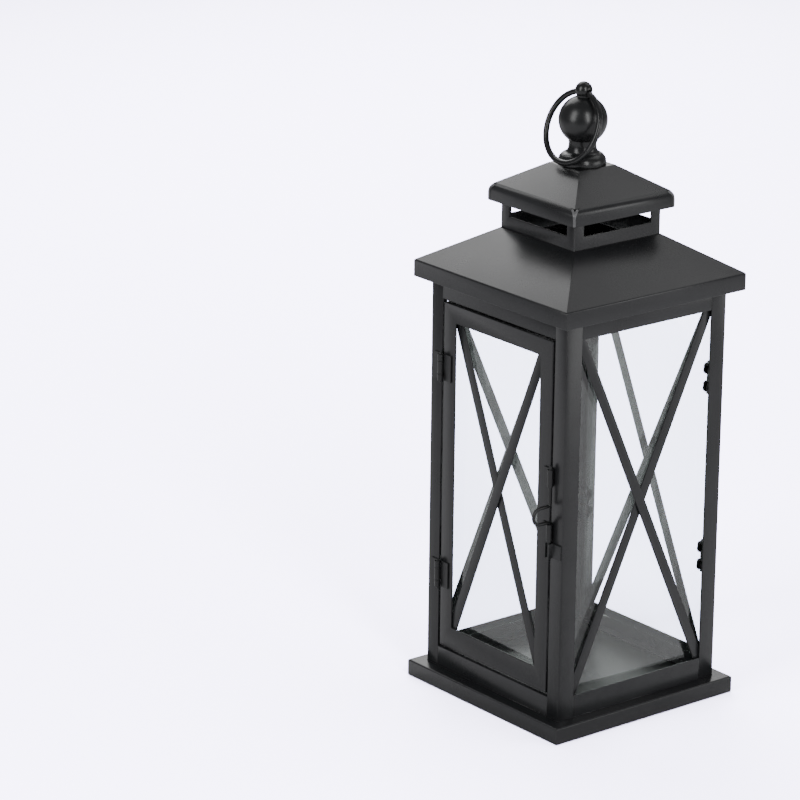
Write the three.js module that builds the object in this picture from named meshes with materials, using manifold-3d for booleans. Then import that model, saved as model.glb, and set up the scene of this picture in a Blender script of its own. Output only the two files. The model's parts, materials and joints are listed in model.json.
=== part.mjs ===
// A square sheet-steel candle lantern: glazed walls with crossed flat bars, a hinged door held by a
// sliding pin latch, a hipped roof with an open neck and a small cap, and a turned finial with a
// carrying ring. Millimetres, +Z up. The door is on the -Y side and hangs on its -X edge. Every piece
// is drawn about the middle of the base, and the whole is then set back so that the origin is at the
// middle of the footprint, with the latch's finger loop, on the surface that the lantern stands on.
import * as THREE from 'three';
import { mergeVertices } from 'three/addons/utils/BufferGeometryUtils.js';
import Module from 'manifold-3d';

const wasm = await Module();
wasm.setup();

// ---- driving dimensions ------------------------------------------------------------------
const GAP = 0.3; // clearance between pieces that touch
const SHEET = 1.2; // sheet steel
const THIN = 0.8; // hinge, latch and clip sheet

const BASE = { width: 170, height: 12.5, hem: 9, edge: 0.8 };
const BODY = {
  width: 150, flange: 14, sillTop: 29.3, headBottom: 296, railLip: 8, bend: 1.2,
  doorwayFlange: 12.6, doorwaySillTop: 27.8, // narrower round the door
};
const ROOF = { width: 169, bottom: 309.3, corner: 321.8, bend: 1.8, pitch: 31.4 };
const NECK = { width: 80.4, bottom: 342, windowWidth: 63, windowBottom: 358, windowTop: 374.5 };
const CAP = {
  width: 93.8, bottom: 368.4, corner: 379.6, bend: 6.8, flat: 33.5,
  notchWidth: 6.6, notchLow: 373.6, notchHigh: 380.9,
};
const SEAT = { hole: 116 };

const BRACE = { width: 8, thick: 1.2, endRun: 5, depth: 1.5 };
const GLASS = { thick: 2, depth: 4.5, lap: 4 };
const CLIP = {
  length: 24, earSpacing: 13.6, earRadius: 3.7, reach: 3.7, pad: 4.7, heights: [106, 242.8],
  alongDoor: 30,
};

const DOOR = {
  left: -60.2, right: 60.2, bottom: 30, top: 293.8, lip: 7,
  openLeft: -47.2, openRight: 46.8, openBottom: 46.6, openTop: 280.6,
};

const HARDWARE = { axisY: -77.5, barrel: 2.2 }; // shared by the hinges and the latch
const HINGE = {
  x: -60.8, heights: [86, 245], length: 20, middle: 9.4, bore: 1.3, pin: 1.0, overhang: 1.6,
  frameLeaf: 9.5, doorLeaf: 9.8,
};
const LATCH = {
  x: 63.2, bore: 1.6, wire: 1.25, leafLeft: 54, upper: [188, 201], lower: [147, 160],
  keeper: [135, 145.8], keeperInside: 3.2, keeperDepth: 4.3, keeperRight: 74,
  pinBottom: 133.8, pinTop: 203.8, loopLow: 161.7, loopHigh: 173.7, loopReach: 14.85, wireBend: 2.2,
};

const FINIAL = {
  flangeRadius: 17.3, flangeCurve: 6.7, flangeWide: 1.7, waistRadius: 9.9, waistZ: 413.2,
  ballRadius: 17.6, ballZ: 430, neckRadius: 5, topRadius: 6.2, topZ: 451.5,
  holeRadius: 2.8, holeZ: 450, stud: 2.4, studTop: 412, headFlats: 8, headHeight: 4,
};
const RING = { radius: 26.15, wire: 2.1, lean: 22.1, rise: 0.15 };

const half = BODY.width / 2;
const pitch = THREE.MathUtils.degToRad(ROOF.pitch);

// ---- materials ---------------------------------------------------------------------------
function satinBlack(roughness) {
  return new THREE.MeshStandardMaterial({ color: 0x1a1b1d, roughness, metalness: 0.25 });
}
const paint = satinBlack(0.5);
const turnedPaint = satinBlack(0.38);
const hardwarePaint = satinBlack(0.42);
const glass = new THREE.MeshStandardMaterial({
  color: 0xe4ecea, roughness: 0.03, metalness: 0, transparent: true, opacity: 0.25,
});

// ---- geometry helpers --------------------------------------------------------------------
function block(x, y, z) {
  const box = new THREE.BoxGeometry(x[1] - x[0], y[1] - y[0], z[1] - z[0]);
  return box.translate((x[0] + x[1]) / 2, (y[0] + y[1]) / 2, (z[0] + z[1]) / 2);
}

function outline(points, hole) {
  const shape = new THREE.Shape(points.map(([a, b]) => new THREE.Vector2(a, b)));
  if (hole) shape.holes.push(new THREE.Path(hole.map(([a, b]) => new THREE.Vector2(a, b))));
  return shape;
}

function rectangle(a0, a1, b0, b1) {
  return [[a0, b0], [a1, b0], [a1, b1], [a0, b1]];
}

function extrude(shape, low, high) {
  const options = { depth: high - low, bevelEnabled: false };
  return new THREE.ExtrudeGeometry(shape, options).translate(0, 0, low);
}

const axisX = new THREE.Vector3(1, 0, 0);
const axisY = new THREE.Vector3(0, 1, 0);
const axisZ = new THREE.Vector3(0, 0, 1);

// An outline drawn in Y and Z, run along X.
function extrudeX(shape, low, high) {
  return extrude(shape, low, high).applyMatrix4(new THREE.Matrix4().makeBasis(axisY, axisZ, axisX));
}

// An outline drawn in Z and X, run along Y.
function extrudeY(shape, low, high) {
  return extrude(shape, low, high).applyMatrix4(new THREE.Matrix4().makeBasis(axisZ, axisX, axisY));
}

function cylinderZ(radius, low, high, sides = 16) {
  const rod = new THREE.CylinderGeometry(radius, radius, high - low, sides);
  return rod.rotateX(Math.PI / 2).translate(0, 0, (low + high) / 2);
}

// A profile of [radius, z] points turned about Z.
function turn(profile, sides) {
  const points = profile.map(([r, z]) => new THREE.Vector2(r, z));
  return new THREE.LatheGeometry(points, sides).rotateX(Math.PI / 2);
}

// A profile of [half width, z] points carried round a square: a lathe of four sides.
function square(profile) {
  const points = profile.map(([w, z]) => new THREE.Vector2(w * Math.SQRT2, z));
  return new THREE.LatheGeometry(points, 4, Math.PI / 4).rotateX(Math.PI / 2);
}

function solid(geometry) {
  const plain = geometry.clone();
  plain.deleteAttribute('normal');
  plain.deleteAttribute('uv');
  const merged = mergeVertices(plain, 1e-5);
  const vertProperties = new Float32Array(merged.attributes.position.array);
  const triVerts = new Uint32Array(merged.index.array);
  return new wasm.Manifold(new wasm.Mesh({ numProp: 3, vertProperties, triVerts }));
}

function fromSolid(body) {
  const { vertProperties, triVerts, numProp } = body.getMesh();
  const geometry = new THREE.BufferGeometry();
  const positions = new THREE.InterleavedBuffer(vertProperties, numProp);
  geometry.setAttribute('position', new THREE.InterleavedBufferAttribute(positions, 3, 0));
  geometry.setIndex(new THREE.BufferAttribute(triVerts, 1));
  const flat = geometry.toNonIndexed();
  flat.computeVertexNormals();
  return flat;
}

function join(geometries, cuts = []) {
  let body = geometries.map(solid).reduce((whole, piece) => whole.add(piece));
  for (const cut of cuts) body = body.subtract(solid(cut));
  return fromSolid(body);
}

function named(name, geometry, material) {
  const mesh = new THREE.Mesh(geometry, material);
  mesh.name = name;
  return mesh;
}

function arc(centre, radius, from, to, steps) {
  const points = [];
  for (let i = 0; i <= steps; i += 1) {
    const angle = from + ((to - from) * i) / steps;
    points.push([centre[0] + radius * Math.cos(angle), centre[1] + radius * Math.sin(angle)]);
  }
  return points;
}

// ---- base and corner posts ---------------------------------------------------------------
// A pan folded from one sheet, open below, with a flat hem turned in to stand on.
function baseTray() {
  const w = BASE.width / 2;
  const h = BASE.height;
  return named('base_tray', square([
    [0, h - SHEET], [w - SHEET, h - SHEET], [w - SHEET, SHEET], [w - BASE.hem, SHEET],
    [w - BASE.hem, 0], [w - BASE.edge / 2, 0], [w, BASE.edge / 2], [w, h - BASE.edge],
    [w - BASE.edge, h], [0, h],
  ]), paint);
}

// An angle with a bent outer corner; drawn for the -X -Y corner and turned to the others. front is
// its flange on the drawn -Y side and side is the one on the drawn -X side.
function cornerPost(name, quarter, front, side) {
  const bend = BODY.bend;
  const corner = arc([-half + bend, -half + bend], bend, -Math.PI / 2, -Math.PI, 4);
  const inner = -half + SHEET;
  const tipX = -half + front;
  const tipY = -half + side;
  const shape = outline([
    ...corner, [-half, tipY], [inner, tipY], [inner, inner], [tipX, inner], [tipX, -half],
  ]);
  const post = named(name, extrude(shape, 0, ROOF.bottom - BASE.height - GAP), paint);
  post.position.z = BASE.height + GAP;
  post.rotation.z = (quarter * Math.PI) / 2;
  return post;
}

// ---- a wall, drawn for the -Y side and turned to the others ------------------------------
function rail(name, low, high, lipAtTop, flange) {
  const y = -half;
  const lip = y + BODY.railLip;
  const inner = y + SHEET;
  const section = lipAtTop
    ? [[y, low], [inner, low], [inner, high - SHEET], [lip, high - SHEET], [lip, high], [y, high]]
    : [[y, low], [lip, low], [lip, low + SHEET], [inner, low + SHEET], [inner, high], [y, high]];
  const reach = half - flange - GAP;
  return named(name, extrudeX(outline(section), -reach, reach), paint);
}

function head(name, flange = BODY.flange) {
  return rail(name, BODY.headBottom, ROOF.bottom, true, flange);
}

function sill(name) {
  return rail(name, BASE.height + GAP, BODY.sillTop, false, BODY.flange);
}

// Under the door, with its lip at the top.
function doorwaySill(name) {
  return rail(name, BASE.height + GAP, BODY.doorwaySillTop, true, BODY.doorwayFlange);
}

// Two flat bars across an opening from corner to corner, behind the face at y = face, and welded
// together where they cross, one behind the other.
function braces(prefix, opening, face, outer) {
  const wide = opening.right - opening.left;
  const tall = opening.top - opening.bottom;
  const reach = Math.hypot(wide, tall) / 2 + BRACE.endRun;
  const slope = Math.atan2(tall, wide);
  return ['falling', 'rising'].map((way) => {
    const bar = block([-reach, reach], [0, BRACE.thick], [-BRACE.width / 2, BRACE.width / 2]);
    bar.rotateY(way === 'falling' ? slope : -slope);
    const mesh = named(`${prefix}_brace_${way}`, bar, paint);
    const depth = BRACE.depth + (way === outer ? 0 : BRACE.thick + GAP);
    mesh.position.set(
      (opening.left + opening.right) / 2, face + depth, (opening.bottom + opening.top) / 2,
    );
    return mesh;
  });
}

function pane(name, left, right, bottom, top, face) {
  const sheet = block([left, right], [0, GLASS.thick], [bottom, top]);
  const mesh = named(name, sheet, glass);
  mesh.position.y = face + GLASS.depth;
  return mesh;
}

// A strip with two half-round ears bent over a pane's edge. edge is the x of the strip's side that
// faces the pane, and side is +1 for a pane's right edge and -1 for its left.
function clip(name, edge, side, height, face, pad) {
  const front = BRACE.depth;
  const earFront = GLASS.depth + GLASS.thick + GAP;
  const back = earFront + THIN;
  const reachTo = edge - side * CLIP.reach;
  const tip = CLIP.earRadius;
  const z = [-CLIP.length / 2, CLIP.length / 2];
  const span = (a, b) => [Math.min(a, b), Math.max(a, b)];
  const pieces = [block(span(edge, edge + side * THIN), [front, back], z)];
  if (pad > 0) pieces.push(block(span(edge, edge + side * pad), [front, front + THIN], z));
  const root = edge + side * THIN * 0.5;
  for (const offset of [-CLIP.earSpacing / 2, CLIP.earSpacing / 2]) {
    const round = arc([offset, reachTo + side * tip], tip, 0, -side * Math.PI, 8);
    const ear = outline([...round, [offset - tip, root], [offset + tip, root]]);
    pieces.push(extrudeY(ear, earFront, back));
  }
  const mesh = named(name, join(pieces), hardwarePaint);
  mesh.position.set(0, face, height);
  return mesh;
}

function glazedWall(label, quarter) {
  const wall = new THREE.Group();
  const open = half - BODY.flange;
  const opening = { left: -open, right: open, bottom: BODY.sillTop, top: BODY.headBottom };
  const edge = open + GLASS.lap;
  const wallClips = [['first', -1], ['second', 1]].flatMap(([end, side]) => (
    [['lower', CLIP.heights[0]], ['upper', CLIP.heights[1]]].map(([level, height]) => (
      clip(`${label}_clip_${end}_${level}`, side * (edge + GAP), side, height, -half, CLIP.pad)
    ))
  ));
  wall.add(
    head(`${label}_head_rail`),
    sill(`${label}_sill_rail`),
    ...braces(label, opening, -half, 'falling'),
    pane(`${label}_glass`, -edge, edge, opening.bottom - GLASS.lap, opening.top + GLASS.lap, -half),
    ...wallClips,
  );
  wall.rotation.z = (quarter * Math.PI) / 2;
  return wall;
}

// ---- door ----------------------------------------------------------------------------------
function doorFrame() {
  const { left, right, bottom, top, openLeft, openRight, openBottom, openTop } = DOOR;
  const outer = rectangle(bottom, top, left, right);
  const opening = rectangle(openBottom, openTop, openLeft, openRight);
  const inside = rectangle(bottom + SHEET, top - SHEET, left + SHEET, right - SHEET);
  const face = extrudeY(outline(outer, opening), 0, SHEET);
  const lip = extrudeY(outline(outer, inside), 0, DOOR.lip);
  const mesh = named('door_frame', join([face, lip]), paint);
  mesh.position.y = -half;
  return mesh;
}

function doorGlazing() {
  const opening = {
    left: DOOR.openLeft, right: DOOR.openRight, bottom: DOOR.openBottom, top: DOOR.openTop,
  };
  const margin = SHEET + GAP + THIN + GAP;
  const edge = DOOR.right - margin;
  const low = DOOR.bottom + margin;
  const high = DOOR.top - margin;
  const doorClips = [['top', 1], ['bottom', -1]].flatMap(([label, side]) => (
    [['left', -CLIP.alongDoor], ['right', CLIP.alongDoor]].map(([end, x]) => {
      const upright = side * ((high - low) / 2 + GAP);
      const mesh = clip(`door_clip_${label}_${end}`, upright, side, (high + low) / 2, -half, 0);
      mesh.position.x = x;
      mesh.rotation.y = -Math.PI / 2; // the strip lies along the pane's top or bottom edge
      return mesh;
    })
  ));
  return [
    ...braces('door', opening, -half, 'rising'),
    pane('door_glass', -edge, edge, low, high, -half),
    ...doorClips,
  ];
}

// ---- hinges and latch ----------------------------------------------------------------------
const leafBack = HARDWARE.axisY + HARDWARE.barrel; // the leaves' side that lies on the posts and door
const leafFront = leafBack - THIN;

function barrelAt(x, low, high) {
  return cylinderZ(HARDWARE.barrel, low, high).translate(x, HARDWARE.axisY, 0);
}

function boreAt(x, radius, low, high) {
  return cylinderZ(radius, low, high, 14).translate(x, HARDWARE.axisY, 0);
}

// A flat strip from plateEnd that ends in a barrel at x.
function barrelLeaf(x, plateEnd, z) {
  const plate = [Math.min(x, plateEnd), Math.max(x, plateEnd)];
  return [block(plate, [leafFront, leafBack], z), barrelAt(x, z[0], z[1])];
}

function hinge(label, height) {
  const reach = HINGE.length / 2;
  const middle = HINGE.middle / 2;
  const x = HINGE.x;
  const clear = HARDWARE.barrel + GAP;
  const plate = (from, to) => block([from, to], [leafFront, leafBack], [-reach, reach]);
  const framePieces = [
    plate(x - HINGE.frameLeaf, x - clear),
    ...barrelLeaf(x, x - clear - GAP, [-reach, -middle - GAP]),
    ...barrelLeaf(x, x - clear - GAP, [middle + GAP, reach]),
  ];
  const bore = boreAt(x, HINGE.bore, -reach - 1, reach + 1);
  const frameLeaf = named(`hinge_frame_leaf_${label}`, join(framePieces, [bore]), hardwarePaint);

  const doorPieces = [
    plate(x + clear, x + HINGE.doorLeaf), ...barrelLeaf(x, x + clear + GAP, [-middle, middle]),
  ];
  const doorLeaf = named(`hinge_door_leaf_${label}`, join(doorPieces, [bore]), hardwarePaint);

  const pinReach = reach + HINGE.overhang;
  const pinRod = cylinderZ(HINGE.pin, -pinReach, pinReach).translate(x, HARDWARE.axisY, 0);
  const pin = named(`hinge_pin_${label}`, pinRod, hardwarePaint);
  for (const piece of [frameLeaf, doorLeaf, pin]) piece.position.z = height;
  return { onFrame: [frameLeaf, pin], onDoor: [doorLeaf] };
}

function latchKnuckle(name, z) {
  const bore = boreAt(LATCH.x, LATCH.bore, z[0] - 1, z[1] + 1);
  return named(name, join(barrelLeaf(LATCH.x, LATCH.leafLeft, z), [bore]), hardwarePaint);
}

// The keeper on the post: a channel whose mouth faces outward, so the pin swings out with the door.
function latchKeeper() {
  const side = LATCH.keeperInside / 2;
  const front = leafBack - LATCH.keeperDepth;
  const z = LATCH.keeper;
  const pieces = [block([LATCH.x - side - THIN, LATCH.keeperRight], [leafFront, leafBack], z)];
  for (const sign of [-1, 1]) {
    const arm = [LATCH.x + sign * side, LATCH.x + sign * (side + THIN)].sort((a, b) => a - b);
    pieces.push(block(arm, [front, leafBack], z));
  }
  return named('latch_keeper', join(pieces), hardwarePaint);
}

// A round wire bent to a finger loop that stands straight out of the door.
function latchPin() {
  const bend = LATCH.wireBend;
  const loop = (LATCH.loopHigh - LATCH.loopLow) / 2;
  const middle = (LATCH.loopHigh + LATCH.loopLow) / 2;
  const straight = LATCH.loopReach - loop;
  const at = (out, z) => new THREE.Vector3(0, -out, z);
  const route = new THREE.CurvePath();
  const low = LATCH.loopLow;
  const high = LATCH.loopHigh;
  route.add(new THREE.LineCurve3(at(0, LATCH.pinTop), at(0, high + bend)));
  route.add(new THREE.QuadraticBezierCurve3(at(0, high + bend), at(0, high), at(bend, high)));
  route.add(new THREE.LineCurve3(at(bend, high), at(straight, high)));
  const rim = 8;
  for (let i = 0; i < rim; i += 1) {
    const a = Math.PI / 2 - (Math.PI * i) / rim;
    const b = Math.PI / 2 - (Math.PI * (i + 1)) / rim;
    route.add(new THREE.LineCurve3(
      at(straight + loop * Math.cos(a), middle + loop * Math.sin(a)),
      at(straight + loop * Math.cos(b), middle + loop * Math.sin(b)),
    ));
  }
  route.add(new THREE.LineCurve3(at(straight, low), at(bend, low)));
  route.add(new THREE.QuadraticBezierCurve3(at(bend, low), at(0, low), at(0, low - bend)));
  route.add(new THREE.LineCurve3(at(0, low - bend), at(0, LATCH.pinBottom)));
  const section = new THREE.Shape(
    arc([0, 0], LATCH.wire, 0, Math.PI * 1.75, 7).map(([a, b]) => new THREE.Vector2(a, b)),
  );
  const options = { extrudePath: route, steps: 80, bevelEnabled: false };
  const mesh = named('latch_pin', new THREE.ExtrudeGeometry(section, options), hardwarePaint);
  mesh.position.set(LATCH.x, HARDWARE.axisY, 0);
  return mesh;
}

// ---- roof, neck and cap --------------------------------------------------------------------
// One side of a hipped sheet: up the fascia, round the bend and along the slope. inset moves the
// line in by the sheet's thickness for the underside.
function slopeLine(part, inset) {
  const w = part.width / 2;
  const radius = part.bend - inset;
  const run = part.bend * Math.tan((Math.PI / 2 - pitch) / 2);
  const centre = [w - part.bend, part.corner - run];
  const bend = arc(centre, radius, 0, Math.PI / 2 - pitch, 5);
  const start = [bend[5][0], bend[5][1]];
  const heightAt = (x) => start[1] + (start[0] - x) * Math.tan(pitch);
  return { points: [[w - inset, part.bottom], ...bend], heightAt };
}

function mainRoof() {
  const hole = NECK.width / 2 + GAP;
  const top = slopeLine(ROOF, 0);
  const under = slopeLine(ROOF, SHEET);
  const profile = [
    ...top.points, [hole, top.heightAt(hole)], [hole, under.heightAt(hole)],
    ...under.points.reverse(),
  ];
  return named('main_roof', square([...profile, profile[0]]), paint);
}

function roofSeat() {
  const w = ROOF.width / 2 - SHEET - GAP;
  const h = SEAT.hole / 2;
  const plate = extrude(outline(rectangle(-w, w, -w, w), rectangle(-h, h, -h, h)), 0, SHEET);
  const mesh = named('roof_seat_plate', plate, paint);
  mesh.position.z = ROOF.bottom + GAP;
  return mesh;
}

const capUnderside = slopeLine(CAP, SHEET);
const capFlatZ = slopeLine(CAP, 0).heightAt(CAP.flat / 2);

function neck() {
  const w = NECK.width / 2;
  const top = capUnderside.heightAt(w) - GAP - 0.1;
  const inner = w - SHEET;
  const walls = extrude(
    outline(rectangle(-w, w, -w, w), rectangle(-inner, inner, -inner, inner)), NECK.bottom, top,
  );
  const window = [-NECK.windowWidth / 2, NECK.windowWidth / 2];
  const z = [NECK.windowBottom, NECK.windowTop];
  const cuts = [block(window, [-w - 1, w + 1], z), block([-w - 1, w + 1], window, z)];
  return named('vent_neck', join([walls], cuts), paint);
}

// The notch under the hip, where two flaps of the cap's fascia meet at a corner and their rounded
// upper corners part.
function capNotch() {
  const steps = 6;
  const side = [];
  for (let i = 1; i <= steps; i += 1) {
    const angle = (Math.PI / 2) * (i / steps);
    const z = CAP.notchLow + (CAP.notchHigh - CAP.notchLow) * Math.sin(angle);
    side.push([(CAP.notchWidth / 2) * (1 - Math.cos(angle)), z]);
  }
  return [[0, CAP.notchLow], ...side, ...side.map(([y, z]) => [-y, z]).reverse()];
}

function cap() {
  const flat = CAP.flat / 2;
  const top = slopeLine(CAP, 0);
  const profile = [
    ...top.points, [flat, capFlatZ], [0, capFlatZ],
  ];
  const under = capFlatZ - SHEET;
  const start = capUnderside.points[capUnderside.points.length - 1];
  const underFlat = start[0] - (under - start[1]) / Math.tan(pitch);
  const underside = [[0, under], [underFlat, under], ...[...capUnderside.points].reverse()];
  const shell = square([...underside, ...profile]);
  const cuts = [cylinderZ(FINIAL.stud + GAP, under - 1, capFlatZ + 1)];
  for (const turnBy of [1, 3, 5, 7]) {
    const notch = extrudeX(outline(capNotch()), CAP.width / 2, CAP.width);
    cuts.push(notch.rotateZ((turnBy * Math.PI) / 4));
  }
  return named('cap', join([shell], cuts), paint);
}

// ---- finial and ring -----------------------------------------------------------------------
function finial() {
  const base = capFlatZ + GAP;
  const { flangeRadius, flangeCurve, flangeWide, waistRadius, waistZ } = FINIAL;
  const { ballRadius, ballZ, topRadius, topZ, neckRadius } = FINIAL;
  const flange = arc(
    [flangeRadius - flangeCurve, base + flangeWide], flangeCurve,
    -Math.asin(flangeWide / flangeCurve), Math.PI * 0.4, 9,
  );
  const shoulder = new THREE.Vector2(...flange[flange.length - 1]);
  const throat = new THREE.QuadraticBezierCurve(
    shoulder,
    new THREE.Vector2(waistRadius + 0.1, shoulder.y + 0.9),
    new THREE.Vector2(waistRadius, waistZ),
  );
  const ballStart = Math.asin((waistZ + 2.6 - ballZ) / ballRadius);
  const ballEnd = Math.acos(neckRadius / ballRadius);
  const topStart = -Math.acos(neckRadius / topRadius);
  const profile = [
    [0, base],
    ...flange,
    ...throat.getPoints(5).slice(1).map((p) => [p.x, p.y]),
    ...arc([0, ballZ], ballRadius, ballStart, ballEnd, 14),
    ...arc([0, topZ], topRadius, topStart, Math.PI / 2, 9).slice(0, -1),
    [0, topZ + topRadius],
  ];
  const hole = cylinderZ(FINIAL.holeRadius, -10, 10, 20).rotateY(Math.PI / 2);
  hole.translate(0, 0, FINIAL.holeZ);
  const socket = cylinderZ(FINIAL.stud + GAP, base - 1, FINIAL.studTop + GAP);
  return named('finial', join([turn(profile, 28)], [hole, socket]), turnedPaint);
}

function finialBolt() {
  const under = capFlatZ - SHEET - GAP;
  const hexRadius = FINIAL.headFlats / 2 / Math.cos(Math.PI / 6);
  const hex = cylinderZ(hexRadius, under - FINIAL.headHeight, under, 6);
  const shank = cylinderZ(FINIAL.stud, under - 1, FINIAL.studTop);
  return named('finial_bolt', join([hex, shank]), hardwarePaint);
}

// The ring hangs in the hole through the finial's top ball and leans on the flange below.
function ring() {
  const torus = new THREE.TorusGeometry(RING.radius, RING.wire, 10, 56);
  torus.rotateX(Math.PI / 2).translate(0, 0, RING.rise - RING.radius);
  const mesh = named('carrying_ring', torus, turnedPaint);
  mesh.position.z = FINIAL.holeZ;
  mesh.rotation.x = -THREE.MathUtils.degToRad(RING.lean);
  return mesh;
}

// ---- assembly --------------------------------------------------------------------------------
const lantern = new THREE.Group();
lantern.add(baseTray());
const { flange, doorwayFlange } = BODY;
lantern.add(
  cornerPost('post_front_left', 0, doorwayFlange, flange),
  cornerPost('post_front_right', 1, flange, doorwayFlange),
  cornerPost('post_back_right', 2, flange, flange),
  cornerPost('post_back_left', 3, flange, flange),
  head('front_head_rail', doorwayFlange),
  doorwaySill('front_sill_rail'),
);
['right', 'back', 'left'].forEach((side, i) => lantern.add(glazedWall(side, i + 1)));

const door = new THREE.Group();
door.add(doorFrame(), ...doorGlazing());
['lower', 'upper'].forEach((label, i) => {
  const parts = hinge(label, HINGE.heights[i]);
  lantern.add(...parts.onFrame);
  door.add(...parts.onDoor);
});
door.add(latchKnuckle('latch_upper_knuckle', LATCH.upper));
door.add(latchKnuckle('latch_lower_knuckle', LATCH.lower));
door.add(latchPin());
lantern.add(door, latchKeeper());

lantern.add(roofSeat(), mainRoof(), neck(), cap(), finialBolt(), finial(), ring());

const frontReach = LATCH.loopReach + LATCH.wire - HARDWARE.axisY;
lantern.position.y = (frontReach - BASE.width / 2) / 2;

export default lantern;
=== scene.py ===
"""A square black sheet-steel candle lantern: the looks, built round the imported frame.

Sizes are in millimetres about the middle of the base, as the lantern's own drawing has them, and
place() turns them into the frame's metres.
"""
import json
import math

import bmesh
import bpy
from mathutils import Matrix, Vector


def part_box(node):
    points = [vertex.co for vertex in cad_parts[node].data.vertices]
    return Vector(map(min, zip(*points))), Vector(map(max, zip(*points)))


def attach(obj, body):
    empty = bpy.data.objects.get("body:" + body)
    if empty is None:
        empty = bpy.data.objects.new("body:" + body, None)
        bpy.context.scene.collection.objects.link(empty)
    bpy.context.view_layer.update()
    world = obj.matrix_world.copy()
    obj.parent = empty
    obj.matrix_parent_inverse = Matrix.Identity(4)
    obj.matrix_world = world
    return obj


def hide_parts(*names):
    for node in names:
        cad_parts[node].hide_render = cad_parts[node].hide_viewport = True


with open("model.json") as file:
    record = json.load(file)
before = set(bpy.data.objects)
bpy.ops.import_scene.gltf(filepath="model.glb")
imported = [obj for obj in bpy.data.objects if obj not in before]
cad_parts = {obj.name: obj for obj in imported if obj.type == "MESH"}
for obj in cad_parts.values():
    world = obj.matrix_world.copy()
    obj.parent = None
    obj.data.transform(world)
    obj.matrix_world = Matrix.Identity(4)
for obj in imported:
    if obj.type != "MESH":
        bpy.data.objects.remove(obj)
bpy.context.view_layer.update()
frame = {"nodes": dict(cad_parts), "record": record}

MM = 0.001
base_low, base_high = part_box("base_tray")
BASE_MIDDLE = Vector(((base_low.x + base_high.x) / 2, (base_low.y + base_high.y) / 2, 0))
BODY_OF = {
    node: body
    for body, nodes in frame["record"]["behaviour"]["bodies"].items()
    for node in nodes
}


def place(x, y, z):
    """A point of the drawing, in millimetres, as a point of the frame, in metres."""
    return BASE_MIDDLE + Vector((x, y, z)) * MM


# ---- camera, floor and lights ------------------------------------------------------------------
CAMERA = {  # fitted to the lantern's corners in the photo; angles in degrees
    "at": (2076.2, -1822.4, 1119.7),
    "azimuth": 51.37,
    "elevation": 18.07,
    "roll": 0.648,
    "lens": 180.2,
}


def camera():
    azimuth, elevation, roll = (
        math.radians(CAMERA[angle]) for angle in ("azimuth", "elevation", "roll")
    )
    back = Vector((
        math.sin(azimuth) * math.cos(elevation),
        -math.cos(azimuth) * math.cos(elevation),
        math.sin(elevation),
    ))
    level = Vector((math.cos(azimuth), math.sin(azimuth), 0))
    upright = back.cross(level)
    right = math.cos(roll) * level + math.sin(roll) * upright
    up = math.cos(roll) * upright - math.sin(roll) * level
    data = bpy.data.cameras.new("camera")
    data.lens = CAMERA["lens"]
    data.clip_end = 100
    view = bpy.data.objects.new("camera", data)
    view.matrix_world = Matrix.Translation(place(*CAMERA["at"])) @ Matrix(
        (right, up, back)
    ).transposed().to_4x4()
    bpy.context.scene.collection.objects.link(view)
    bpy.context.scene.camera = view


def new_material(name):
    """An empty material, its nodes, and a function that links an output to an input."""
    material = bpy.data.materials.new(name)
    material.use_nodes = True
    nodes = material.node_tree.nodes
    nodes.clear()
    return material, nodes, material.node_tree.links.new


STUDIO = (0.205, 0.203, 0.211)  # how bright the room looks to the lantern
SEEN = (5.8, 5.5, 7.4)  # how bright the room looks to the camera
FLOOR = (0.8, 0.8, 0.82)  # the floor's colour, as it lights the lantern
SEEN_FLOOR = (6.9, 6.6, 8.9)  # the floor's colour, as the camera sees it
FLOOR_REACH = 15  # metres from the middle to an edge
FLOOR_DROP = 0.0002  # metres under the base, so that the two faces don't flicker


def floor():
    """A pale floor. The camera sees it brighter than the lantern does, as in the photo."""
    material, nodes, link = new_material("pale_floor")
    output = nodes.new("ShaderNodeOutputMaterial")
    rays = nodes.new("ShaderNodeLightPath")
    mix = nodes.new("ShaderNodeMixShader")
    lit = nodes.new("ShaderNodeBsdfDiffuse")
    lit.inputs["Color"].default_value = (*FLOOR, 1)
    shown = nodes.new("ShaderNodeBsdfDiffuse")
    shown.inputs["Color"].default_value = (*SEEN_FLOOR, 1)
    link(rays.outputs["Is Camera Ray"], mix.inputs["Fac"])
    link(lit.outputs["BSDF"], mix.inputs[1])
    link(shown.outputs["BSDF"], mix.inputs[2])
    link(mix.outputs["Shader"], output.inputs["Surface"])
    bm = bmesh.new()
    bmesh.ops.create_grid(bm, x_segments=1, y_segments=1, size=FLOOR_REACH)
    ground = piece_from(bm, "floor")
    ground.location.z = -FLOOR_DROP
    ground.data.materials.append(material)


def room():
    """Plain light from all round. The camera sees it brighter than the lantern does."""
    world = bpy.data.worlds.new("studio")
    world.use_nodes = True
    nodes, link = world.node_tree.nodes, world.node_tree.links.new
    nodes.clear()
    output = nodes.new("ShaderNodeOutputWorld")
    rays = nodes.new("ShaderNodeLightPath")
    mix = nodes.new("ShaderNodeMixShader")
    for socket, light in ((1, STUDIO), (2, SEEN)):
        background = nodes.new("ShaderNodeBackground")
        background.inputs["Color"].default_value = (*light, 1)
        link(background.outputs["Background"], mix.inputs[socket])
    link(rays.outputs["Is Camera Ray"], mix.inputs["Fac"])
    link(mix.outputs["Shader"], output.inputs["Surface"])
    bpy.context.scene.world = world


AIM = 330  # the height on the lantern that the lights face


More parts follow.
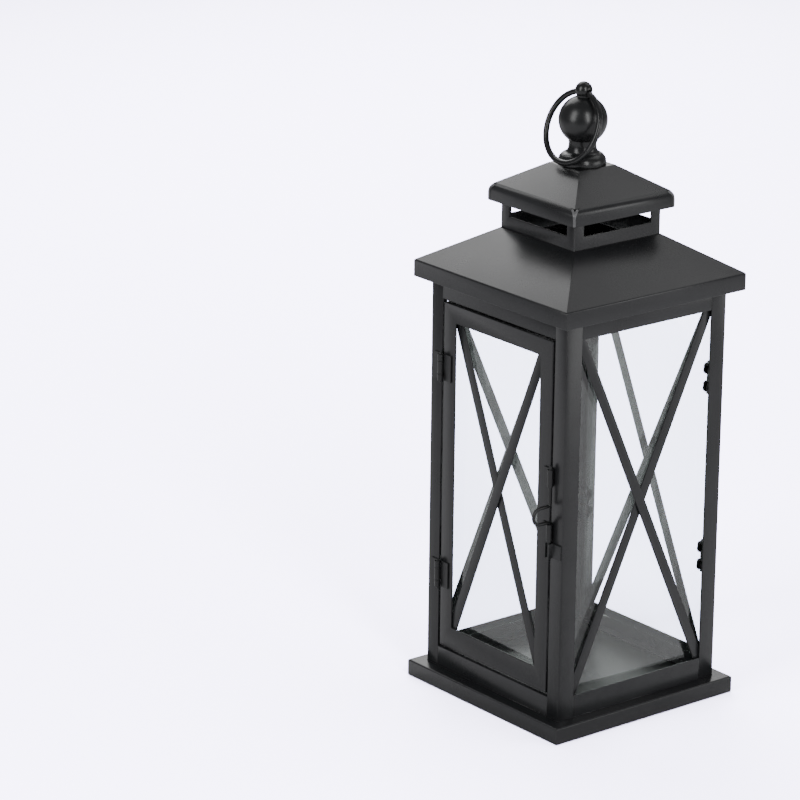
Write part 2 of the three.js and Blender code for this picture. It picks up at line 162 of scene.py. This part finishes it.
def softbox(name, azimuth, elevation, distance, width, height, power):
    """An area light, sized in metres, that faces the lantern from a direction in degrees: azimuth 0
    is the door's side, 90 is the right."""
    a, e = math.radians(azimuth), math.radians(elevation)
    toward = Vector((math.sin(a) * math.cos(e), -math.cos(a) * math.cos(e), math.sin(e)))
    data = bpy.data.lights.new(name, "AREA")
    data.shape = "RECTANGLE"
    data.size = width
    data.size_y = height
    data.energy = power
    lamp = bpy.data.objects.new(name, data)
    lamp.location = place(0, 0, AIM) + toward * distance
    lamp.rotation_mode = "QUATERNION"
    lamp.rotation_quaternion = toward.to_track_quat("Z", "Y")
    lamp.visible_camera = False
    bpy.context.scene.collection.objects.link(lamp)


# ---- meshes ------------------------------------------------------------------------------------
SAME_POINT = 1e-6  # metres
FLAT = math.radians(0.6)  # faces that turn by less than this are one flat side
SHARP = math.radians(30)  # edges that turn by more than this are rounded


def piece_from(bm, name):
    """A smooth-shaded object of the bmesh, which is freed."""
    mesh = bpy.data.meshes.new(name)
    bm.to_mesh(mesh)
    bm.free()
    mesh.shade_smooth()
    piece = bpy.data.objects.new(name, mesh)
    bpy.context.scene.collection.objects.link(piece)
    return piece


def tidy(bm):
    """Joins doubled points and makes one face of each flat side."""
    bmesh.ops.remove_doubles(bm, verts=bm.verts, dist=SAME_POINT)
    bmesh.ops.dissolve_limit(bm, angle_limit=FLAT, verts=bm.verts, edges=bm.edges)
    bmesh.ops.recalc_face_normals(bm, faces=bm.faces)


def round_edges(piece, width, segments=2):
    """Rounds the piece's sharp edges, by a width in millimetres."""
    bevel = piece.modifiers.new("rounded edges", "BEVEL")
    bevel.width = width * MM
    bevel.segments = segments
    bevel.limit_method = "ANGLE"
    bevel.angle_limit = SHARP
    bevel.harden_normals = True


def dress(piece, finish, *nodes):
    """Gives a piece its finish and stands it for its CAD nodes, on their body."""
    piece.data.materials.clear()
    piece.data.materials.append(FINISHES[finish])
    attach(piece, BODY_OF[nodes[0]] if nodes else "lantern_frame")
    if nodes:
        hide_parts(*nodes)


def refined(node, width, finish):
    """The CAD node's own shape with one face for each flat side and its edges rounded."""
    bm = bmesh.new()
    bm.from_mesh(frame["nodes"][node].data)
    tidy(bm)
    piece = piece_from(bm, node + "_refined")
    round_edges(piece, width)
    dress(piece, finish, node)


def combine(piece, other, operation):
    """Joins other to piece, or cuts it away, and removes other."""
    change = piece.modifiers.new("combine", "BOOLEAN")
    change.operation = operation
    change.solver = "EXACT"
    change.object = other
    bpy.context.view_layer.update()
    graph = bpy.context.evaluated_depsgraph_get()
    mesh = bpy.data.meshes.new_from_object(piece.evaluated_get(graph))
    piece.modifiers.clear()
    piece.data = mesh
    bpy.data.objects.remove(other)
    bm = bmesh.new()
    bm.from_mesh(mesh)
    tidy(bm)
    bm.to_mesh(mesh)
    bm.free()
    mesh.shade_smooth()


def arc(centre, radius, start, end, steps):
    """Points round a circle, from and to angles in degrees."""
    angles = [math.radians(start + (end - start) * i / steps) for i in range(steps + 1)]
    x, y = centre
    return [(x + radius * math.cos(a), y + radius * math.sin(a)) for a in angles]


def skin(rings, name, closed=False):
    """A closed surface through rings of points, with an end face on each end if it isn't a loop."""
    bm = bmesh.new()
    loops = [[bm.verts.new(point) for point in ring] for ring in rings]
    count = len(loops[0])
    for i in range(len(loops) if closed else len(loops) - 1):
        near, far = loops[i], loops[(i + 1) % len(loops)]
        for j in range(count):
            k = (j + 1) % count
            bm.faces.new((near[j], near[k], far[k], far[j]))
    if not closed:
        bm.faces.new(reversed(loops[0]))
        bm.faces.new(loops[-1])
    bmesh.ops.recalc_face_normals(bm, faces=bm.faces)
    return piece_from(bm, name)


def bar(outline, z, name):
    """An outline of x and y run upwards between two heights."""
    return skin([[place(x, y, height) for x, y in outline] for height in z], name)


def block(x, y, z, name):
    """A square-cornered block between two values of x, of y and of z."""
    return bar([(x[0], y[0]), (x[1], y[0]), (x[1], y[1]), (x[0], y[1])], z, name)


def turned(profile, steps, name):
    """A profile of radius and z turned about the drawing's Z axis, from radius 0 to radius 0."""
    bm = bmesh.new()
    ends = [bm.verts.new(place(0, 0, z)) for _, z in (profile[0], profile[-1])]
    rings = []
    for radius, z in profile[1:-1]:
        circle = arc((0, 0), radius, 0, 360, steps)[:-1]
        rings.append([bm.verts.new(place(x, y, z)) for x, y in circle])
    for j in range(steps):
        k = (j + 1) % steps
        bm.faces.new((ends[0], rings[0][k], rings[0][j]))
        bm.faces.new((ends[1], rings[-1][j], rings[-1][k]))
        for near, far in zip(rings, rings[1:]):
            bm.faces.new((near[j], near[k], far[k], far[j]))
    bmesh.ops.recalc_face_normals(bm, faces=bm.faces)
    return piece_from(bm, name)


DOME = (25, 50, 72, 86)  # degrees up to each ring of a wire's domed end
DOME_HEIGHT = 0.6  # of the wire's radius


def wire(points, radius, across, name, closed=False, sides=20):
    """A round wire along points in metres. across is roughly square to the wire all the way, and an
    open wire's ends are domed."""
    points = [Vector(point) for point in points]
    stations = [(point, 1.0, 0.0) for point in points]
    if not closed:
        dome = [(math.cos(math.radians(a)), math.sin(math.radians(a))) for a in DOME]
        stations = (
            [(points[0], c, -s) for c, s in reversed(dome)]
            + stations
            + [(points[-1], c, s) for c, s in dome]
        )
    total = len(stations)
    rings = []
    for i, (point, share, beyond) in enumerate(stations):
        if closed:
            ahead = stations[(i + 1) % total][0] - stations[i - 1][0]
        elif beyond or point in (points[0], points[-1]):
            ahead = points[1] - points[0] if i < total / 2 else points[-1] - points[-2]
        else:
            ahead = stations[i + 1][0] - stations[i - 1][0]
        ahead.normalize()
        side = across.cross(ahead).normalized()
        centre = point + ahead * beyond * radius * DOME_HEIGHT
        rings.append([
            centre + (side * x + ahead.cross(side) * y) * radius * share
            for x, y in arc((0, 0), 1, 0, 360, sides)[:-1]
        ])
    return skin(rings, name, closed)


# ---- finishes ----------------------------------------------------------------------------------
# noise scales, in cycles a metre
DRIFT = 28
PEEL = 620
GRAIN = 2600


def paint(name, colour, roughness, peel, uneven=0.06):
    """Paint over steel: fine orange peel, peel millimetres deep, roughness that drifts over a few
    centimetres by uneven, and a painted highlight: a paler colour on the sharp edges, varying with
    the drift."""
    material, nodes, link = new_material(name)
    output = nodes.new("ShaderNodeOutputMaterial")
    shader = nodes.new("ShaderNodeBsdfPrincipled")
    shader.inputs["Specular IOR Level"].default_value = 0.5
    link(shader.outputs["BSDF"], output.inputs["Surface"])
    place_in_piece = nodes.new("ShaderNodeTexCoord").outputs["Object"]

    def noise(scale, detail):
        texture = nodes.new("ShaderNodeTexNoise")
        texture.inputs["Scale"].default_value = scale
        texture.inputs["Detail"].default_value = detail
        link(place_in_piece, texture.inputs["Vector"])
        return texture.outputs["Fac"]

    def mapped(value, low, high, to_low, to_high):
        span = nodes.new("ShaderNodeMapRange")
        for socket, number in zip(
            ("From Min", "From Max", "To Min", "To Max"), (low, high, to_low, to_high)
        ):
            span.inputs[socket].default_value = number
        link(value, span.inputs["Value"])
        return span.outputs["Result"]

    drift = noise(DRIFT, 3)
    grain = noise(GRAIN, 2)
    # painted highlight: the colour turns paler on sharp edges, where light would catch them
    edge_highlight_colour = nodes.new("ShaderNodeMix")
    edge_highlight_colour.data_type = "RGBA"
    edge_highlight_colour.inputs["A"].default_value = (*colour, 1)
    edge_highlight_colour.inputs["B"].default_value = (*(c * 2.6 + 0.004 for c in colour), 1)
    edge = nodes.new("ShaderNodeNewGeometry").outputs["Pointiness"]
    edge_highlight_share = nodes.new("ShaderNodeMath")
    edge_highlight_share.operation = "MULTIPLY"
    link(mapped(edge, 0.53, 0.62, 0.0, 0.8), edge_highlight_share.inputs[0])
    link(mapped(drift, 0.35, 0.65, 0.4, 1.0), edge_highlight_share.inputs[1])
    link(edge_highlight_share.outputs["Value"], edge_highlight_colour.inputs["Factor"])
    link(edge_highlight_colour.outputs["Result"], shader.inputs["Base Color"])

    rough = nodes.new("ShaderNodeMath")
    link(mapped(drift, 0.3, 0.7, roughness - uneven, roughness + uneven), rough.inputs[0])
    link(mapped(grain, 0.3, 0.7, -0.02, 0.02), rough.inputs[1])
    link(rough.outputs["Value"], shader.inputs["Roughness"])

    bump = nodes.new("ShaderNodeBump")
    bump.inputs["Strength"].default_value = 1.0
    bump.inputs["Distance"].default_value = peel * MM
    link(noise(PEEL, 2), bump.inputs["Height"])
    link(bump.outputs["Normal"], shader.inputs["Normal"])
    return material


GLASS = {
    "tint": (0.955, 0.975, 0.968), "roughness": 0.03,
    "mirror": 0.075,  # the share of light that a pane mirrors straight on
}


def clear_glass():
    """A clear pane: faintly green to look through, and more of a mirror when it's seen aslant."""
    material, nodes, link = new_material("clear_glass")
    output = nodes.new("ShaderNodeOutputMaterial")
    mix = nodes.new("ShaderNodeMixShader")
    through = nodes.new("ShaderNodeBsdfTransparent")
    through.inputs["Color"].default_value = (*GLASS["tint"], 1)
    mirror = nodes.new("ShaderNodeBsdfGlossy")
    mirror.inputs["Color"].default_value = (1, 1, 1, 1)
    mirror.inputs["Roughness"].default_value = GLASS["roughness"]
    facing = nodes.new("ShaderNodeLayerWeight")
    facing.inputs["Blend"].default_value = 0.5
    glance = nodes.new("ShaderNodeMath")
    glance.operation = "POWER"
    glance.inputs[1].default_value = 5
    share = nodes.new("ShaderNodeMapRange")
    share.inputs["To Min"].default_value = GLASS["mirror"]
    link(facing.outputs["Facing"], glance.inputs[0])
    link(glance.outputs["Value"], share.inputs["Value"])
    link(share.outputs["Result"], mix.inputs["Fac"])
    link(through.outputs["BSDF"], mix.inputs[1])
    link(mirror.outputs["BSDF"], mix.inputs[2])
    link(mix.outputs["Shader"], output.inputs["Surface"])
    return material


FINISHES = {
    "sheet_black": paint("sheet_black", (0.0105, 0.011, 0.012), 0.29, 0.004, 0.02),
    "turned_black": paint("turned_black", (0.009, 0.0095, 0.010), 0.26, 0.003),
    "hardware_black": paint("hardware_black", (0.008, 0.0085, 0.009), 0.34, 0.004),
    "clear_glass": clear_glass(),
}
BEAD_HIGHLIGHT_PAINT = paint("painted_bead_highlight", (0.10, 0.10, 0.103), 0.29, 0.004)  # grey paint on the flaps' rolled edges: a painted highlight for the light that they catch


# ---- hinges and latch --------------------------------------------------------------------------
SHEET = 0.8  # the hinges' and the latch's sheet
AXIS_Y = -77.5  # of the hinges' pins and the latch's pin
BARREL = 2.2
LEAF_BACK = AXIS_Y + BARREL
LEAF_FRONT = LEAF_BACK - SHEET
LEAF_EDGE = 0.12  # the rounding of sheet edges
ROLL = 300  # degrees that a leaf rolls round its pin
HINGE = {
    "x": -60.8, "reach": 10, "middle": 4.7, "gap": 0.3, "frame_leaf": 9.5, "door_leaf": 9.8,
    "pin": 1.0,
    "overhang": 0.96,  # the pin's straight part past the leaves, before its dome
}
LATCH = {
    "x": 63.2, "wire": 1.25, "leaf_left": 54, "top": 203.2, "bottom": 134.4,
    "loop_low": 161.7, "loop_high": 173.7, "reach": 14.8, "bend": 2.2,
}


def rolled(x, plate_end, z, name):
    """A strip that lies flat from plate_end and rolls most of the way round a pin at x."""
    turn = ROLL if plate_end > x else -ROLL
    outside = arc((x, AXIS_Y), BARREL, 90, 90 + turn, 40)
    inside = arc((x, AXIS_Y), BARREL - SHEET, 90 + turn, 90, 40)
    return bar([(plate_end, LEAF_FRONT), (plate_end, LEAF_BACK), *outside, *inside], z, name)


def hinge(label):
    """A butt hinge: two knuckles on the frame leaf, one of the door leaf between them, a pin."""
    low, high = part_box(f"hinge_pin_{label}")
    middle_z = (low.z + high.z) / 2 / MM
    x, reach, middle, gap = (HINGE[key] for key in ("x", "reach", "middle", "gap"))
    clear = BARREL + gap
    outer = ((-reach, -middle - gap), (middle + gap, reach))
    inner = ((-middle, middle),)
    leaves = (
        (f"hinge_frame_leaf_{label}", -1, HINGE["frame_leaf"], outer),
        (f"hinge_door_leaf_{label}", 1, HINGE["door_leaf"], inner),
    )
    for node, side, width, knuckles in leaves:
        across = sorted((x + side * clear, x + side * width))
        upright = (middle_z - reach, middle_z + reach)
        leaf = block(across, (LEAF_FRONT, LEAF_BACK), upright, node + "_rolled")
        for z in knuckles:
            knuckle = rolled(x, x + side * (clear + gap), [middle_z + h for h in z], "knuckle")
            combine(leaf, knuckle, "UNION")
        round_edges(leaf, LEAF_EDGE)
        dress(leaf, "hardware_black", node)

    ends = [middle_z + sign * (reach + HINGE["overhang"]) for sign in (-1, 1)]
    pin = wire(
        [place(x, AXIS_Y, z) for z in ends], HINGE["pin"] * MM, Vector((1, 0, 0)),
        f"hinge_pin_{label}_domed",
    )
    dress(pin, "hardware_black", f"hinge_pin_{label}")


def latch():
    """The door's two knuckles, and the pin: one wire with a finger loop bent out of its middle."""
    x = LATCH["x"]
    for label in ("upper", "lower"):
        node = f"latch_{label}_knuckle"
        low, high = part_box(node)
        knuckle = rolled(x, LATCH["leaf_left"], (low.z / MM, high.z / MM), node + "_rolled")
        round_edges(knuckle, LEAF_EDGE)
        dress(knuckle, "hardware_black", node)

    loop_low, loop_high, bend = LATCH["loop_low"], LATCH["loop_high"], LATCH["bend"]
    loop = (loop_high - loop_low) / 2
    nose = LATCH["reach"] - loop
    route = [
        (0, LATCH["top"]),
        *arc((bend, loop_high + bend), bend, 180, 270, 10),
        *arc((nose, loop_low + loop), loop, 90, -90, 32),
        *arc((bend, loop_low - bend), bend, 90, 180, 10),
        (0, LATCH["bottom"]),
    ]
    pin = wire(
        [place(x, AXIS_Y - out, z) for out, z in route], LATCH["wire"] * MM, Vector((1, 0, 0)),
        "latch_pin_bent",
    )
    dress(pin, "hardware_black", "latch_pin")


# ---- finial and ring ---------------------------------------------------------------------------
FINIAL = {
    "flange": 17.3, "curve": 6.7, "wide": 1.7,
    "rim_end": 72,  # degrees up the flange's curve, where the throat starts
    "pull": (0.1, 0.9),  # how far the throat's curve is pulled out and up
    "waist": 9.9, "waist_z": 413.2, "shoulder": 2.6,  # from the waist up to the ball
    "ball": 17.6, "ball_z": 430, "neck": 5, "top": 6.2, "top_z": 451.5,
    "hole": 2.8, "hole_z": 450, "hole_reach": 10,
}
RING = {
    "radius": 26.15, "wire": 2.1,
    "lean": 22.1,  # degrees from upright, with its foot on the flange
    "rise": 0.15,  # of its top above the hole's middle
}


def finial():
    """One turned piece: flange, throat, waist, ball and top ball, with a hole across the last."""
    flange, curve, wide = (FINIAL[key] for key in ("flange", "curve", "wide"))
    waist, ball, top, neck = (FINIAL[key] for key in ("waist", "ball", "top", "neck"))
    waist_z, ball_z, top_z = (FINIAL[key] for key in ("waist_z", "ball_z", "top_z"))
    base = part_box("finial")[0].z / MM
    foot = -math.degrees(math.asin(wide / curve))
    rim = arc((flange - curve, base + wide), curve, foot, FINIAL["rim_end"], 24)
    start, end = rim[-1], (waist, waist_z)
    out, up = FINIAL["pull"]
    pull = (waist + out, start[1] + up)
    throat = [
        tuple(
            (1 - t) ** 2 * a + 2 * t * (1 - t) * b + t * t * c
            for a, b, c in zip(start, pull, end)
        )
        for t in (step / 12 for step in range(1, 13))
    ]
    ball_from = math.degrees(math.asin((waist_z + FINIAL["shoulder"] - ball_z) / ball))
    ball_to = math.degrees(math.acos(neck / ball))
    top_from = -math.degrees(math.acos(neck / top))
    profile = [
        (0, base), *rim, *throat,
        *arc((0, ball_z), ball, ball_from, ball_to, 40),
        *arc((0, top_z), top, top_from, 90, 24)[:-1],
        (0, top_z + top),
    ]
    body = turned(profile, 96, "finial_turned")
    reach = FINIAL["hole_reach"]
    hole = wire(
        [place(x, 0, FINIAL["hole_z"]) for x in (-reach, reach)], FINIAL["hole"] * MM,
        Vector((0, 1, 0)), "hole", sides=32,
    )
    combine(body, hole, "DIFFERENCE")
    round_edges(body, 0.35, 3)
    dress(body, "turned_black", "finial")


def ring():
    """The carrying ring, hanging in the top ball's hole and leaning forward on the flange."""
    lean = math.radians(RING["lean"])
    pivot = place(0, 0, FINIAL["hole_z"])
    turn = Matrix.Rotation(-lean, 3, "X")
    centre = Vector((0, 0, RING["rise"] - RING["radius"]))
    points = [
        pivot + turn @ ((centre + Vector((x, 0, z))) * MM)
        for x, z in arc((0, 0), RING["radius"], 0, 360, 160)[:-1]
    ]
    loop = wire(
        points, RING["wire"] * MM, turn @ Vector((0, 1, 0)), "carrying_ring_round", closed=True,
        sides=24,
    )
    dress(loop, "turned_black", "carrying_ring")


# ---- cap corners -------------------------------------------------------------------------------
CAP = {
    "width": 93.8, "bottom": 368.4, "corner": 379.6, "bend": 6.8, "pitch": 31.4,
    "notch": 6.6, "notch_low": 373.6, "notch_high": 380.9,
}
BEAD = {
    "radius": 1.0, "sunk": 0.4,  # its middle inside the fascia's face
    "foot": 0.8, "foot_steps": 5,  # above the fascia's edge, then up in 1 mm steps
    "part_steps": 9, "part_step": 7.5,  # degrees of the notch's curve
}
CORNERS = ("front_right", "back_right", "back_left", "front_left")


def cap_corners():
    """The rolled edges of the cap's flaps: they run up each corner of the fascia and part round the
    notch under the hip."""
    bend, sunk = CAP["bend"], BEAD["sunk"]
    to_bend = bend * math.tan(math.radians(90 - CAP["pitch"]) / 2)
    bend_x, bend_z = CAP["width"] / 2 - bend, CAP["corner"] - to_bend
    foot_x, foot_z = CAP["width"] / 2 - sunk, CAP["bottom"] + BEAD["foot"]
    near = [(foot_x, -foot_x, foot_z + i) for i in range(BEAD["foot_steps"])]
    far = []
    for step in range(BEAD["part_steps"]):
        angle = math.radians(step * BEAD["part_step"])
        z = CAP["notch_low"] + (CAP["notch_high"] - CAP["notch_low"]) * math.sin(angle)
        back = CAP["notch"] / 2 * (1 - math.cos(angle)) * math.sqrt(2)
        x = bend_x + math.sqrt(bend**2 - max(0, z - bend_z) ** 2) - sunk
        near.append((x - back, -x, z))
        far.append((x, -x + back, z))
    outward = Vector((1, -1, 0)).normalized()
    for quarter, corner in enumerate(CORNERS):
        spin = Matrix.Rotation(quarter * math.pi / 2, 3, "Z")
        for label, points in (("near", near), ("far", far)):
            route = [place(*(spin @ Vector(point))) for point in points]
            name = f"cap_{corner}_edge_{label}"
            edge = wire(route, BEAD["radius"] * MM, spin @ outward, name, sides=16)
            dress(edge, "sheet_black")
            # painted highlight: the rolled edges take the paler grey paint in place of the sheet's
            # black
            edge.data.materials[0] = BEAD_HIGHLIGHT_PAINT


# ---- welds ---------------------------------------------------------------------------------------
HALF_BODY = 75
WALL = 1.2  # the walls' sheet
GAP = 0.3  # the CAD's clearance between pieces that are welded
LAP = 0.05  # how far a weld runs into the pieces that it joins
FLUSH = 0.1  # how far a rail's weld is ground back from its faces
INSET = 0.12  # of the welds under and over the walls, from the walls' faces


def square_seam(half, z, name):
    """A flat square frame that closes the joint under or over the walls."""
    bm = bmesh.new()
    inner = half - WALL
    corners = [(-1, -1), (1, -1), (1, 1), (-1, 1)]
    rings = [
        [bm.verts.new(place(sx * w, sy * w, height)) for sx, sy in corners]
        for w, height in ((half, z[0]), (half, z[1]), (inner, z[1]), (inner, z[0]))
    ]
    for i in range(4):
        near, far = rings[i], rings[(i + 1) % 4]
        for j in range(4):
            k = (j + 1) % 4
            bm.faces.new((near[j], near[k], far[k], far[j]))
    bmesh.ops.recalc_face_normals(bm, faces=bm.faces)
    dress(piece_from(bm, name), "sheet_black")


def rail_seams():
    """The ground-flush welds that join each rail's ends to the posts."""
    for side, quarter in (("front", 0), ("right", 1), ("back", 2), ("left", 3)):
        for level in ("head", "sill"):
            low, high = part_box(f"{side}_{level}_rail")
            z = (low.z / MM + FLUSH, high.z / MM - FLUSH)
            reach = max(high.x - low.x, high.y - low.y) / 2 / MM
            for end in (-1, 1):
                x = sorted((end * (reach - LAP), end * (reach + GAP + LAP)))
                y = (-HALF_BODY + FLUSH, -HALF_BODY + WALL - FLUSH)
                seam = block(x, y, z, f"weld_{side}_{level}_{'left' if end < 0 else 'right'}")
                seam.data.transform(
                    Matrix.Translation(BASE_MIDDLE)
                    @ Matrix.Rotation(quarter * math.pi / 2, 4, "Z")
                    @ Matrix.Translation(-BASE_MIDDLE)
                )
                dress(seam, "sheet_black")


# ---- the lantern -------------------------------------------------------------------------------
camera()
floor()
room()
softbox("key_left", -108, 43, 2.2, 1.7, 1.7, 23)
softbox("fill_back", 175, 55, 2.4, 1.6, 1.6, 8)
softbox("fill_right", 124, 9, 2.4, 1.6, 1.1, 15)
softbox("back_left", -128, 18, 2.6, 1.4, 1.4, 10)
softbox("front", 0, 25, 2.4, 0.95, 1.9, 28)
softbox("right", 72, 24, 2.4, 0.5, 1.9, 23)

EDGES = {  # the rounding of the sheet pieces' edges, by the kind in their node's name
    "base_tray": 0.3, "post": 0.25, "rail": 0.25, "door_frame": 0.3, "brace": 0.3, "clip": 0.12,
    "roof_seat_plate": 0.2, "main_roof": 0.5, "vent_neck": 0.35, "cap": 0.5, "latch_keeper": 0.12,
    "finial_bolt": 0.2,
}
HARDWARE = ("clip", "latch_keeper", "finial_bolt")
PANE_EDGE = 0.3
for node in frame["nodes"]:
    for kind, width in EDGES.items():
        if kind in node:
            refined(node, width, "hardware_black" if kind in HARDWARE else "sheet_black")
            break
    if node.endswith("_glass"):
        refined(node, PANE_EDGE, "clear_glass")
for label in ("lower", "upper"):
    hinge(label)
latch()
finial()
ring()
cap_corners()
rail_seams()
tray_top = base_high.z / MM
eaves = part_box("main_roof")[0].z / MM
for z, name in ((tray_top, "weld_walls_to_base"), (eaves, "weld_walls_to_roof")):
    square_seam(HALF_BODY - INSET, (z - LAP, z + GAP + LAP), name)
